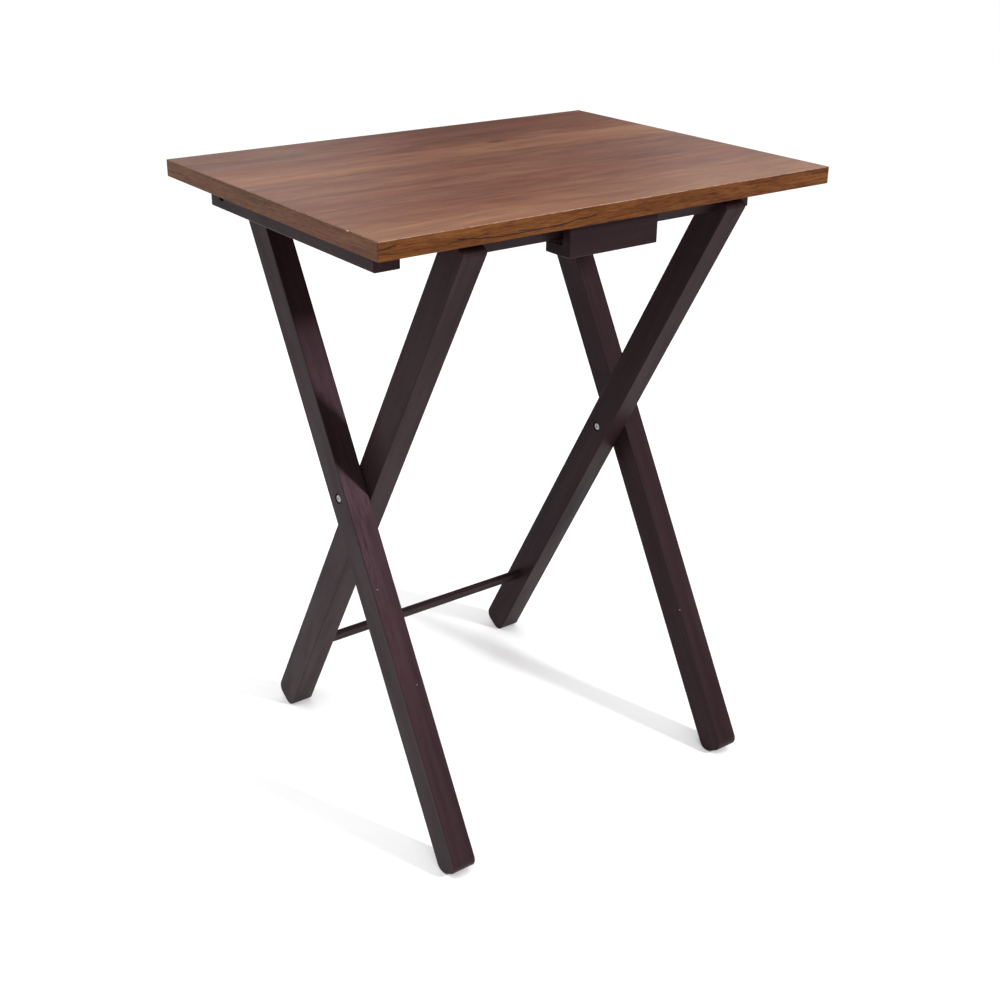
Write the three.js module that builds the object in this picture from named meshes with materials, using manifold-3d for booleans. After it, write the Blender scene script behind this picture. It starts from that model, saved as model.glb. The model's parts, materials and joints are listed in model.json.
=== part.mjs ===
// A folding tray table: a laminated board on two scissor leg pairs.
// Millimetres, +Z up. The origin is on the floor, under the middle of the board.
// X runs along the board's long side, Y along its short side, with the front at -Y.

import * as THREE from "three";
import { mergeVertices } from "three/addons/utils/BufferGeometryUtils.js";
import Module from "manifold-3d";

const wasm = await Module();
wasm.setup();

// ---- Driving dimensions -------------------------------------------------------------------

const TABLE_HEIGHT = 635;
const BOARD_LENGTH = 508;
const BOARD_DEPTH = 375;
const BOARD_THICKNESS = 16;
const BAND_THICKNESS = 1;

const LEG_THICKNESS = 25; // along X
const LEG_WIDTH = 31; // across the leg, in the plane it swings in
const FOOT_RADIUS = 10; // rounding of a foot's two corners
const OUTER_LEG_TOP = { rise: 15.5, frontRadius: 15.5, rearRadius: 15.5 }; // half-round
const INNER_LEG_TOP = { rise: 13, frontRadius: 3, rearRadius: 12 };
const INNER_LEG_FACE = 162.5; // |X| of an inner leg's outer face
const LEG_GAP = 1.5; // between an inner and an outer leg
const CLEAT_GAP = 2; // between an outer leg and its cleat

const CROSSING_HEIGHT = 333; // where the legs cross, above the floor
const PIVOT_HEIGHT = 603; // the legs' upper ends, above the floor
const PIVOT_REACH = 151.5; // the legs' upper ends, from the middle of the board

const CLEAT_THICKNESS = 26;
const CLEAT_HEIGHT = 30;
const CLEAT_FRONT = -121.5;
const CLEAT_REAR = 174;

const CATCH_LENGTH = 102;
const CATCH_HEIGHT = 32;
const CATCH_FRONT = -171;
const CATCH_REAR = -138;
const CATCH_WEB = 10; // wall in front of the crossbar
const CATCH_LIP = 10.5; // ledge under the crossbar

const CROSSBAR = { thickness: 10, width: 15, setback: 3, rise: 4.5 };
const STRETCHER = { thickness: 6, width: 14, setback: 2, drop: 276, tenon: 8 };

const GAP = 0.3; // play between a fastener and its hole, and between pieces in a turned group
const ROUND_SEGMENTS = 16;

// ---- Worked out from them -----------------------------------------------------------------

const UNDERSIDE = TABLE_HEIGHT - BOARD_THICKNESS;
const LEAN = Math.atan2(PIVOT_REACH, PIVOT_HEIGHT - CROSSING_HEIGHT);
const ARM = Math.hypot(PIVOT_REACH, PIVOT_HEIGHT - CROSSING_HEIGHT); // crossing to upper end
const HALF_WIDTH = LEG_WIDTH / 2;
const INNER_LEG_BACK = INNER_LEG_FACE - LEG_THICKNESS;
const OUTER_LEG_BACK = INNER_LEG_FACE + LEG_GAP;
const OUTER_LEG_FACE = OUTER_LEG_BACK + LEG_THICKNESS;
const CLEAT_BACK = OUTER_LEG_FACE + CLEAT_GAP;
const CLEAT_FACE = CLEAT_BACK + CLEAT_THICKNESS;
const CLEAT_BOTTOM = UNDERSIDE - CLEAT_HEIGHT;

// From the crossing to the square end of a foot, so that its rounded corner meets the floor.
const FOOT_DISTANCE =
  (CROSSING_HEIGHT - FOOT_RADIUS - (HALF_WIDTH - FOOT_RADIUS) * Math.sin(LEAN)) / Math.cos(LEAN) +
  FOOT_RADIUS;

// ---- Fasteners ----------------------------------------------------------------------------

const WOOD_SCREW = { radius: 2, headRadius: 4, headHeight: 2.6, point: 5 };
const CLEAT_SCREW_LENGTH = 40;
const CLEAT_SCREW_PLACES = [-92, 14, 118]; // Y
const CATCH_SCREW_LENGTH = 42;
const CATCH_SCREW_PLACES = [-34, 34]; // X
const END_SCREW_LENGTH = 45;
const SCREW_INSET = 0.3; // a countersunk head lies this far under the wood's face

const DOWEL = { radius: 2.5, length: 24, rise: -4.5 };
const END_SCREW_RISE = 3.5;

const MID_SCREW = { headRadius: 3.9, headHeight: 1.6, radius: 1.9, length: 30 };
const MID_SLEEVE = { headRadius: 3.9, headHeight: 1.6, radius: 2.9, length: 40, bore: 2.2 };
const MID_COUNTERBORE = { radius: 4.9, depth: 2.2 };
const MID_WASHER = { radius: 9, thickness: 1 };

const TOP_BOLT = { headRadius: 5, headHeight: 3, radius: 3, length: 46 };
const TOP_COUNTERBORE = { radius: 5.8, depth: 4.5 };
const TOP_BOLT_TAIL = 6; // hole past the insert, for the bolt's end
const TOP_INSERT = { radius: 5, length: 16 };
const TOP_WASHER = { radius: 11, thickness: 1.5 };

// ---- Materials ----------------------------------------------------------------------------

function paint(color, roughness, metalness) {
  return () => new THREE.MeshStandardMaterial({ color, roughness, metalness });
}

const walnutLaminate = paint(0x8a5a44, 0.45, 0);
const walnutBand = paint(0x7d4a2c, 0.5, 0);
const espressoWood = paint(0x3a2d2e, 0.42, 0);
const zincSteel = paint(0xc4c6c8, 0.3, 1);
const whiteNylon = paint(0xe4e2dc, 0.5, 0);
const beechDowel = paint(0xc79f6f, 0.7, 0);

// ---- Solids -------------------------------------------------------------------------------

// A closed mesh, its shared vertices merged, as a solid to cut.
function toSolid(geometry) {
  const bare = geometry.clone();
  bare.deleteAttribute("normal");
  bare.deleteAttribute("uv");
  const merged = mergeVertices(bare, 1e-4);
  const mesh = new wasm.Mesh({
    numProp: 3,
    vertProperties: new Float32Array(merged.attributes.position.array),
    triVerts: new Uint32Array(merged.index.array),
  });
  return new wasm.Manifold(mesh);
}

function toGeometry(solid) {
  const mesh = solid.getMesh();
  const geometry = new THREE.BufferGeometry();
  geometry.setAttribute("position", new THREE.BufferAttribute(mesh.vertProperties, 3));
  geometry.setIndex(new THREE.BufferAttribute(mesh.triVerts, 1));
  geometry.computeVertexNormals();
  return geometry;
}

function cut(geometry, tools) {
  let solid = toSolid(geometry);
  for (const tool of tools) {
    solid = solid.subtract(toSolid(tool));
  }
  return toGeometry(solid);
}

// A box given by its lowest and highest corners.
function block(low, high) {
  const size = high.map((value, axis) => value - low[axis]);
  const centre = high.map((value, axis) => (value + low[axis]) / 2);
  return new THREE.BoxGeometry(...size).translate(...centre);
}

// A turned piece about +X, from its outline as [distance along X, radius] on one side.
function turned(outline) {
  const points = outline.map(([along, radius]) => new THREE.Vector2(radius, along));
  return new THREE.LatheGeometry(points, ROUND_SEGMENTS).rotateZ(-Math.PI / 2);
}

// A straight round hole or rod along X, between two places on it.
function rod(from, to, radius) {
  return turned([
    [from, 0],
    [from, radius],
    [to, radius],
    [to, 0],
  ]);
}

function ring(from, to, radius, hole) {
  return cut(rod(from, to, radius), [rod(from - 1, to + 1, hole)]);
}

// The cross cut in a screw's head, which lies in the plane X = 0 and faces +X.
function crossRecess(reach, depth) {
  const slot = reach / 4;
  return [
    block([-depth, -reach, -slot], [1, reach, slot]),
    block([-depth, -slot, -reach], [1, slot, reach]),
  ];
}

// Turns a piece made with its head facing +X so that its head faces -Z.
function pointedDown(geometry) {
  return geometry.rotateY(Math.PI / 2);
}

// The same piece on the other side of the table. Turning a mirrored triangle's corners round
// keeps its face outward.
function mirrored(geometry) {
  const other = geometry.clone().scale(-1, 1, 1);
  const corners = other.index.array;
  for (let i = 0; i < corners.length; i += 3) {
    [corners[i], corners[i + 1]] = [corners[i + 1], corners[i]];
  }
  other.computeVertexNormals();
  return other;
}

// ---- Screws, bolts and washers, each with its head's face at X = 0 and its shank on -X -----

function woodScrew(length) {
  const { radius, headRadius, headHeight, point } = WOOD_SCREW;
  const body = turned([
    [-length, 0],
    [point - length, radius],
    [-headHeight, radius],
    [0, headRadius],
    [0, 0],
  ]);
  return cut(body, crossRecess(headRadius * 0.55, 1.6));
}

// The hole that a wood screw of that length lies in, open at its head.
function woodScrewHole(length) {
  const { radius, headRadius, headHeight } = WOOD_SCREW;
  return turned([
    [-length - GAP, 0],
    [-length - GAP, radius + GAP],
    [-headHeight - GAP, radius + GAP],
    [0, headRadius + GAP],
    [SCREW_INSET + 1, headRadius + GAP],
    [SCREW_INSET + 1, 0],
  ]);
}

// A straight pin with a domed, cross-recessed head; bores are cut in it as well.
function headedPin({ headRadius, headHeight, radius, length }, bores = []) {
  const dome = headHeight * 0.35;
  const body = turned([
    [-length, 0],
    [-length, radius],
    [-headHeight, radius],
    [-headHeight, headRadius],
    [-dome, headRadius],
    [0, headRadius * 0.75],
    [0, 0],
  ]);
  return cut(body, [...bores, ...crossRecess(headRadius * 0.6, headHeight * 0.7)]);
}

// The tube nut of the middle pivot: headed at one end, open at the other for the screw.
function midSleeve() {
  const { length, bore, headHeight } = MID_SLEEVE;
  const floor = headHeight + 3;
  return headedPin(MID_SLEEVE, [rod(-length - 1, -floor, bore)]);
}

// ---- Board --------------------------------------------------------------------------------

const table = new THREE.Group();

function addPiece(parent, name, geometry, material) {
  const mesh = new THREE.Mesh(geometry, material());
  mesh.name = name;
  parent.add(mesh);
}

// A piece made for the table's right side, and its mirrored twin on the left.
function addPair(parent, name, geometry, material) {
  addPiece(parent, `${name}_right`, geometry, material);
  addPiece(parent, `${name}_left`, mirrored(geometry), material);
}

// A screw driven up into the board, with the hole that it lies in.
function screwFromBelow(length, x, y, bottom) {
  const place = (geometry) => pointedDown(geometry).translate(x, y, bottom + SCREW_INSET);
  return { screw: place(woodScrew(length)), hole: place(woodScrewHole(length)) };
}

// Made for the right side, and mirrored for the left.
const cleatScrews = CLEAT_SCREW_PLACES.map((y) =>
  screwFromBelow(CLEAT_SCREW_LENGTH, (CLEAT_BACK + CLEAT_FACE) / 2, y, CLEAT_BOTTOM),
);

const catchScrews = CATCH_SCREW_PLACES.map((x) =>
  screwFromBelow(CATCH_SCREW_LENGTH, x, CATCH_FRONT + CATCH_WEB / 2, UNDERSIDE - CATCH_HEIGHT),
);

function addBoard() {
  const x = BOARD_LENGTH / 2;
  const y = BOARD_DEPTH / 2;
  const board = block(
    [-x + BAND_THICKNESS, -y + BAND_THICKNESS, UNDERSIDE],
    [x - BAND_THICKNESS, y - BAND_THICKNESS, TABLE_HEIGHT],
  );
  const rightHoles = cleatScrews.map(({ hole }) => hole);
  const holes = [...rightHoles, ...rightHoles.map(mirrored), ...catchScrews.map(({ hole }) => hole)];
  addPiece(table, "top_board", cut(board, holes), walnutLaminate);

  const bands = {
    edge_band_front: block([-x, -y, UNDERSIDE], [x, -y + BAND_THICKNESS, TABLE_HEIGHT]),
    edge_band_rear: block([-x, y - BAND_THICKNESS, UNDERSIDE], [x, y, TABLE_HEIGHT]),
    edge_band_left: block(
      [-x, -y + BAND_THICKNESS, UNDERSIDE],
      [-x + BAND_THICKNESS, y - BAND_THICKNESS, TABLE_HEIGHT],
    ),
    edge_band_right: block(
      [x - BAND_THICKNESS, -y + BAND_THICKNESS, UNDERSIDE],
      [x, y - BAND_THICKNESS, TABLE_HEIGHT],
    ),
  };
  for (const [name, geometry] of Object.entries(bands)) {
    addPiece(table, name, geometry, walnutBand);
  }
}

// ---- Cleats and catch, screwed to the underside -------------------------------------------

function addCleats() {
  const bar = block([CLEAT_BACK, CLEAT_FRONT, CLEAT_BOTTOM], [CLEAT_FACE, CLEAT_REAR, UNDERSIDE]);
  const pivotHole = [
    rod(CLEAT_BACK - 1, CLEAT_FACE, TOP_BOLT.radius + GAP),
    rod(CLEAT_FACE - TOP_COUNTERBORE.depth, CLEAT_FACE + 1, TOP_COUNTERBORE.radius),
  ].map((tool) => tool.translate(0, PIVOT_REACH, PIVOT_HEIGHT));
  const cleat = cut(bar, [...pivotHole, ...cleatScrews.map(({ hole }) => hole)]);
  addPair(table, "cleat", cleat, espressoWood);
  cleatScrews.forEach(({ screw }, index) => {
    addPair(table, `cleat_screw_${index + 1}`, screw, zincSteel);
  });
}

// A hooked block: the crossbar lies behind its front web and on its lip.
function addCatch() {
  const half = CATCH_LENGTH / 2;
  const bottom = UNDERSIDE - CATCH_HEIGHT;
  const whole = block([-half, CATCH_FRONT, bottom], [half, CATCH_REAR, UNDERSIDE]);
  const slot = block(
    [-half - 1, CATCH_FRONT + CATCH_WEB, bottom + CATCH_LIP],
    [half + 1, CATCH_REAR + 1, UNDERSIDE + 1],
  );
  const holes = catchScrews.map(({ hole }) => hole);
  addPiece(table, "catch_block", cut(whole, [slot, ...holes]), espressoWood);
  catchScrews.forEach(({ screw }, index) => {
    addPiece(table, `catch_screw_${index + 1}`, screw, zincSteel);
  });
}

// ---- Legs: X across, Y towards the rear face, Z up the leg, with the crossing at 0 ---------

// Its top ends `rise` beyond the upper pivot, with its front and its rear corner rounded.
function legBar(back, { rise, frontRadius, rearRadius }) {
  const top = ARM + rise;
  const foot = -FOOT_DISTANCE;
  const side = HALF_WIDTH;
  const corner = side - FOOT_RADIUS;
  const outline = new THREE.Shape();
  outline.moveTo(side, foot + FOOT_RADIUS);
  outline.lineTo(side, top - rearRadius);
  outline.absarc(side - rearRadius, top - rearRadius, rearRadius, 0, Math.PI / 2, false);
  outline.absarc(frontRadius - side, top - frontRadius, frontRadius, Math.PI / 2, Math.PI, false);
  outline.lineTo(-side, foot + FOOT_RADIUS);
  outline.absarc(-corner, foot + FOOT_RADIUS, FOOT_RADIUS, Math.PI, 1.5 * Math.PI, false);
  outline.absarc(corner, foot + FOOT_RADIUS, FOOT_RADIUS, 1.5 * Math.PI, 2 * Math.PI, false);
  const bar = new THREE.ExtrudeGeometry(outline, {
    depth: LEG_THICKNESS,
    bevelEnabled: false,
    curveSegments: 10,
  });
  const axes = new THREE.Matrix4().makeBasis(
    new THREE.Vector3(0, 1, 0),
    new THREE.Vector3(0, 0, 1),
    new THREE.Vector3(1, 0, 0),
  );
  return bar.applyMatrix4(axes).translate(back, 0, 0);
}

function addOuterLegs() {
  const frame = new THREE.Group();
  frame.position.set(0, 0, CROSSING_HEIGHT);
  frame.rotation.x = -LEAN;
  table.add(frame);

  const insertEnd = OUTER_LEG_FACE - TOP_INSERT.length;
  const boltHole = TOP_BOLT.radius + GAP;
  const leg = cut(legBar(OUTER_LEG_BACK, OUTER_LEG_TOP), [
    rod(OUTER_LEG_BACK - 1, OUTER_LEG_FACE, MID_SLEEVE.radius + GAP),
    rod(OUTER_LEG_FACE - MID_COUNTERBORE.depth, OUTER_LEG_FACE + 1, MID_COUNTERBORE.radius),
    rod(insertEnd - TOP_BOLT_TAIL, OUTER_LEG_FACE, boltHole).translate(0, 0, ARM),
    rod(insertEnd - GAP, OUTER_LEG_FACE + 1, TOP_INSERT.radius + GAP).translate(0, 0, ARM),
  ]);
  addPair(frame, "outer_leg", leg, espressoWood);

  // The middle pivot: a screw from outside meets a tube nut that comes through both legs.
  const screwFace = OUTER_LEG_FACE - MID_COUNTERBORE.depth + MID_SCREW.headHeight + GAP;
  const sleeveFace = INNER_LEG_BACK + MID_COUNTERBORE.depth - MID_SLEEVE.headHeight - GAP;
  const sleeve = midSleeve().rotateZ(Math.PI).translate(sleeveFace, 0, 0);
  const washer = washerBetween(INNER_LEG_FACE, LEG_GAP, MID_WASHER, MID_SLEEVE.radius + GAP);
  addPair(frame, "mid_screw", headedPin(MID_SCREW).translate(screwFace, 0, 0), zincSteel);
  addPair(frame, "mid_sleeve", sleeve, zincSteel);
  addPair(frame, "mid_washer", washer, whiteNylon);

  // The top pivot: a bolt through the cleat, screwed into an insert in the leg's end.
  const boltFace = CLEAT_FACE - TOP_COUNTERBORE.depth + TOP_BOLT.headHeight + GAP;
  const insert = ring(insertEnd, OUTER_LEG_FACE - GAP, TOP_INSERT.radius, boltHole);
  const spacer = washerBetween(OUTER_LEG_FACE, CLEAT_GAP, TOP_WASHER, boltHole);
  addPair(frame, "top_bolt", headedPin(TOP_BOLT).translate(boltFace, 0, ARM), zincSteel);
  addPair(frame, "top_insert", insert.translate(0, 0, ARM), zincSteel);
  addPair(frame, "top_washer", spacer.translate(0, 0, ARM), whiteNylon);
}

// A washer in the middle of the gap between two pieces of wood.
function washerBetween(face, gap, { radius, thickness }, hole) {
  const from = face + (gap - thickness) / 2;
  return ring(from, from + thickness, radius, hole);
}

// ---- Inner frame: two legs joined by the crossbar and the stretcher -----------------------

// A bar along X between the legs, its section given in the legs' own plane.
function railBetween({ thickness, width }, [setback, height], reach, grow = 0) {
  const half = [thickness / 2 + grow, width / 2 + grow];
  return block(
    [-reach, setback - half[0], height - half[1]],
    [reach, setback + half[0], height + half[1]],
  );
}

function addInnerFrame() {
  const frame = new THREE.Group();
  frame.position.set(0, 0, CROSSING_HEIGHT);
  frame.rotation.x = LEAN;
  table.add(frame);

  const crossbarAt = [CROSSBAR.setback, ARM + CROSSBAR.rise];
  const stretcherAt = [STRETCHER.setback, -STRETCHER.drop];
  const screwPlace = [INNER_LEG_FACE - SCREW_INSET, crossbarAt[0], crossbarAt[1] + END_SCREW_RISE];
  const dowelPlace = [INNER_LEG_BACK, crossbarAt[0], crossbarAt[1] + DOWEL.rise];
  const dowelHalf = DOWEL.length / 2;

  const screw = woodScrew(END_SCREW_LENGTH).translate(...screwPlace);
  const screwHole = woodScrewHole(END_SCREW_LENGTH).translate(...screwPlace);
  const dowel = rod(-dowelHalf, dowelHalf, DOWEL.radius).translate(...dowelPlace);
  const dowelHole = rod(-dowelHalf - GAP, dowelHalf + GAP, DOWEL.radius + GAP).translate(...dowelPlace);

  const tenonReach = INNER_LEG_BACK + STRETCHER.tenon;
  const sleeveSeat = INNER_LEG_BACK + MID_COUNTERBORE.depth;
  const leg = cut(legBar(INNER_LEG_BACK, INNER_LEG_TOP), [
    rod(INNER_LEG_BACK, INNER_LEG_FACE + 1, MID_SLEEVE.radius + GAP),
    rod(INNER_LEG_BACK - 1, sleeveSeat, MID_COUNTERBORE.radius),
    railBetween(STRETCHER, stretcherAt, tenonReach + GAP, GAP),
    screwHole,
    dowelHole,
  ]);
  addPair(frame, "inner_leg", leg, espressoWood);
  addPair(frame, "crossbar_screw", screw, zincSteel);
  addPair(frame, "crossbar_dowel", dowel, beechDowel);

  const crossbar = cut(railBetween(CROSSBAR, crossbarAt, INNER_LEG_BACK - GAP), [
    screwHole,
    dowelHole,
    mirrored(screwHole),
    mirrored(dowelHole),
  ]);
  addPiece(frame, "crossbar", crossbar, espressoWood);
  addPiece(frame, "stretcher", railBetween(STRETCHER, stretcherAt, tenonReach), espressoWood);
}

addBoard();
addCleats();
addCatch();
addOuterLegs();
addInnerFrame();

export default table;
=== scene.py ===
import json
import math

import bmesh
import bpy
from mathutils import Matrix, Vector


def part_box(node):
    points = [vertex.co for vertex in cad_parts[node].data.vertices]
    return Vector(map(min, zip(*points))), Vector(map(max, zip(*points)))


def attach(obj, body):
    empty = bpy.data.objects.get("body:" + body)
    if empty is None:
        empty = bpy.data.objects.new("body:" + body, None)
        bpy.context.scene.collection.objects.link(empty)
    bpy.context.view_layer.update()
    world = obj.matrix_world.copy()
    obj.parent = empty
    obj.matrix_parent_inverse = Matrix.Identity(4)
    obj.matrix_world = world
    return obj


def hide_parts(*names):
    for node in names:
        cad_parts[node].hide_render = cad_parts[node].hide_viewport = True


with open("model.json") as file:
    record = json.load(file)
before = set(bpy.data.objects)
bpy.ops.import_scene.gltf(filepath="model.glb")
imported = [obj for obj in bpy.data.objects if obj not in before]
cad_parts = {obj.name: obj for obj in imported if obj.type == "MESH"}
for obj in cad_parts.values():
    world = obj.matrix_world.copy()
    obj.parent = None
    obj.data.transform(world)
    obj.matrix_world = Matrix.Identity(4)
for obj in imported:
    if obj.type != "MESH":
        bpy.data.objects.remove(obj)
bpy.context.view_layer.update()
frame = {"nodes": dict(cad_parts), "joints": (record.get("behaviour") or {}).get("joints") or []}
MM = 0.001


# ---- The CAD's own places ---------------------------------------------------------------------

def joint_place(name):
    joint = next(j for j in frame["joints"] if j["name"] == name)
    return Vector(joint["pos_m"])


TOP_PIVOT = joint_place("fold_left")
CROSSING = joint_place("scissor")
REACH = TOP_PIVOT - CROSSING
LEAN = math.atan2(REACH.y, REACH.z)
ARM = REACH.length

BOARD_LOW, BOARD_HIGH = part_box("top_board")
OUTER_LOW, OUTER_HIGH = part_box("outer_leg_right")
INNER_LOW, INNER_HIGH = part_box("inner_leg_right")

# The legs' own planes: X across, Y towards a leg's rear side, Z up along it, from the middle pivot.
OUTER_FRAME = Matrix.Translation(CROSSING) @ Matrix.Rotation(-LEAN, 4, "X")
INNER_FRAME = Matrix.Translation(CROSSING) @ Matrix.Rotation(LEAN, 4, "X")


# ---- Solids -----------------------------------------------------------------------------------

def round_off(corners, steps=5):
    """An outline from corners (u, v, radius), in order round the shape."""
    outline = []
    count = len(corners)
    for index, (u, v, radius) in enumerate(corners):
        corner = Vector((u, v))
        if radius == 0:
            outline.append(corner)
            continue
        before = (Vector(corners[index - 1][:2]) - corner).normalized()
        after = (Vector(corners[(index + 1) % count][:2]) - corner).normalized()
        half = before.angle(after) / 2
        centre = corner + (before + after).normalized() * radius / math.sin(half)
        start = corner + before * radius / math.tan(half) - centre
        end = corner + after * radius / math.tan(half) - centre
        first = math.atan2(start.y, start.x)
        sweep = (math.atan2(end.y, end.x) - first + math.pi) % (2 * math.pi) - math.pi
        for step in range(steps + 1):
            angle = first + sweep * step / steps
            outline.append(centre + radius * Vector((math.cos(angle), math.sin(angle))))
    return outline


def inset(outline, distance):
    """The outline moved inwards; outlines run anticlockwise."""
    moved = []
    count = len(outline)
    for index, point in enumerate(outline):
        along_in = (point - outline[index - 1]).normalized()
        along_out = (outline[(index + 1) % count] - point).normalized()
        normal_in = Vector((-along_in.y, along_in.x))
        normal_out = Vector((-along_out.y, along_out.x))
        bisector = (normal_in + normal_out) / (1 + normal_in.dot(normal_out))
        moved.append(point + bisector * distance)
    return moved


def new_object(name, mesh):
    piece = bpy.data.objects.new(name, mesh)
    bpy.context.scene.collection.objects.link(piece)
    return piece


def mesh_from(name, verts, faces):
    mesh = bpy.data.meshes.new(name)
    mesh.from_pydata(verts, [], faces)
    built = bmesh.new()
    built.from_mesh(mesh)
    bmesh.ops.recalc_face_normals(built, faces=built.faces)
    built.to_mesh(mesh)
    built.free()
    return mesh


def prism(name, outline, low, high, arris, steps=3):
    """A solid along X from low to high over an outline in (Y, Z), its end edges rounded off."""
    rings = []
    for step in range(steps + 1):
        angle = math.pi / 2 * step / steps
        rings.append((low + arris * (1 - math.cos(angle)), arris * (1 - math.sin(angle))))
    rings += [(high + low - x, distance) for x, distance in reversed(rings)]
    verts, faces = [], []
    count = len(outline)
    for x, distance in rings:
        verts += [(x, p.x, p.y) for p in inset(outline, distance)]
    for ring in range(len(rings) - 1):
        for index in range(count):
            after = (index + 1) % count
            a, b = ring * count, (ring + 1) * count
            faces.append((a + index, a + after, b + after, b + index))
    faces.append(tuple(range(count)))
    faces.append(tuple(range(len(verts) - count, len(verts))))
    return new_object(name, mesh_from(name, verts, faces))


def turned(name, profile, segments=48):
    """A turned solid about X, from its outline as (x, radius); it starts and ends on the axis."""
    verts, faces = [], []
    rings = []
    for x, radius in profile:
        if radius == 0:
            rings.append([len(verts)])
            verts.append((x, 0, 0))
            continue
        rings.append(list(range(len(verts), len(verts) + segments)))
        for step in range(segments):
            angle = 2 * math.pi * step / segments
            verts.append((x, radius * math.cos(angle), radius * math.sin(angle)))
    for ring, after in zip(rings, rings[1:]):
        for step in range(segments):
            corners = [ring[step % len(ring)], ring[(step + 1) % segments % len(ring)],
                       after[(step + 1) % segments % len(after)], after[step % len(after)]]
            faces.append(tuple(dict.fromkeys(corners)))
    return new_object(name, mesh_from(name, verts, faces))


def box(name, low, high):
    corners = [(x, y, z) for x in (low[0], high[0]) for y in (low[1], high[1]) for z in (low[2], high[2])]
    faces = [(0, 1, 3, 2), (4, 6, 7, 5), (0, 4, 5, 1), (2, 3, 7, 6), (0, 2, 6, 4), (1, 5, 7, 3)]
    return new_object(name, mesh_from(name, corners, faces))


def settle(piece):
    """Bakes the piece's modifiers into its mesh."""
    graph = bpy.context.evaluated_depsgraph_get()
    mesh = bpy.data.meshes.new_from_object(piece.evaluated_get(graph))
    piece.modifiers.clear()
    piece.data = mesh


def cut(piece, tools):
    for tool in tools:
        change = piece.modifiers.new("cut", "BOOLEAN")
        change.operation = "DIFFERENCE"
        change.solver = "EXACT"
        change.object = tool
    bpy.context.view_layer.update()
    settle(piece)
    for tool in tools:
        bpy.data.objects.remove(tool)
    return piece


def shift(piece, x, y, z):
    piece.data.transform(Matrix.Translation((x, y, z)))
    return piece


def bake_matrix(piece, matrix):
    piece.data.transform(matrix)
    if matrix.determinant() < 0:
        piece.data.flip_normals()
    return piece


MIRROR = Matrix.Diagonal((-1, 1, 1, 1))


def finish_piece(piece, body, material, replaces=(), smooth=35):
    """Shades, paints and seats a piece on its body."""
    piece.data.materials.clear()
    piece.data.materials.append(material)
    for face in piece.data.polygons:
        face.use_smooth = True
    piece.data.set_sharp_from_angle(angle=math.radians(smooth))
    normals = piece.modifiers.new("normals", "WEIGHTED_NORMAL")
    normals.keep_sharp = True
    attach(piece, body)
    if replaces:
        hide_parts(*replaces)
    return piece


# ---- Materials --------------------------------------------------------------------------------

class Nodes:
    """A node tree, built up one node at a time."""

    def __init__(self, tree):
        self.tree = tree

    def node(self, kind, inputs=None, **settings):
        made = self.tree.nodes.new(kind)
        for name, value in settings.items():
            setattr(made, name, value)
        for name, value in (inputs or {}).items():
            self.feed(made.inputs[name], value)
        return made

    def feed(self, socket, value):
        if isinstance(value, bpy.types.NodeSocket):
            self.tree.links.new(value, socket)
        else:
            socket.default_value = value

    def math(self, operation, *values, clamp=False):
        made = self.node("ShaderNodeMath", operation=operation, use_clamp=clamp)
        for socket, value in zip(made.inputs, values):
            self.feed(socket, value)
        return made.outputs[0]

    def swing(self, value, amount):
        """A 0..1 value's swing about its middle, times an amount."""
        return self.math("MULTIPLY", self.math("SUBTRACT", value, 0.5), amount)

    def vector(self, operation, *values):
        made = self.node("ShaderNodeVectorMath", operation=operation)
        for socket, value in zip(made.inputs, values):
            self.feed(socket, value)
        scalar = operation in ("LENGTH", "DISTANCE", "DOT_PRODUCT")
        return made.outputs["Value"] if scalar else made.outputs[0]

    def turn(self, place, angle):
        """The place in a frame turned by an angle about X."""
        return self.node("ShaderNodeMapping", {"Vector": place, "Rotation": (angle, 0, 0)}).outputs[0]

    def stretch(self, place, scale):
        return self.node("ShaderNodeMapping", {"Vector": place, "Scale": scale}).outputs[0]

    def noise(self, place, scale=1.0, detail=4.0, roughness=0.55, distortion=0.0, seed=0.0):
        return self.node("ShaderNodeTexNoise", {
            "Vector": place, "W": seed, "Scale": scale, "Detail": detail,
            "Roughness": roughness, "Distortion": distortion,
        }, noise_dimensions="4D").outputs[0]

    def axes(self, place):
        return self.node("ShaderNodeSeparateXYZ", {"Vector": place}).outputs

    def join(self, x, y, z):
        return self.node("ShaderNodeCombineXYZ", {"X": x, "Y": y, "Z": z}).outputs[0]

    def band(self, value, low, high, to_low=0.0, to_high=1.0):
        """Maps low..high to to_low..to_high smoothly, and holds it outside."""
        return self.node("ShaderNodeMapRange", {
            "Value": value, "From Min": low, "From Max": high, "To Min": to_low, "To Max": to_high,
        }, interpolation_type="SMOOTHSTEP").outputs[0]

    def ramp(self, value, stops):
        made = self.node("ShaderNodeValToRGB", {"Fac": value})
        elements = made.color_ramp.elements
        while len(elements) < len(stops):
            elements.new(0.5)
        for element, (position, colour) in zip(elements, stops):
            element.position = position
            element.color = (*colour, 1.0)
        return made.outputs["Color"]

    def mix(self, factor, a, b, blend="MIX"):
        made = self.node("ShaderNodeMix", data_type="RGBA", blend_type=blend)
        colours = [socket for socket in made.inputs if socket.type == "RGBA"]
        self.feed(made.inputs[0], factor)
        for socket, value in zip(colours, (a, b)):
            self.feed(socket, value if isinstance(value, bpy.types.NodeSocket) else (*value, 1.0))
        return next(socket for socket in made.outputs if socket.type == "RGBA")


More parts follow.
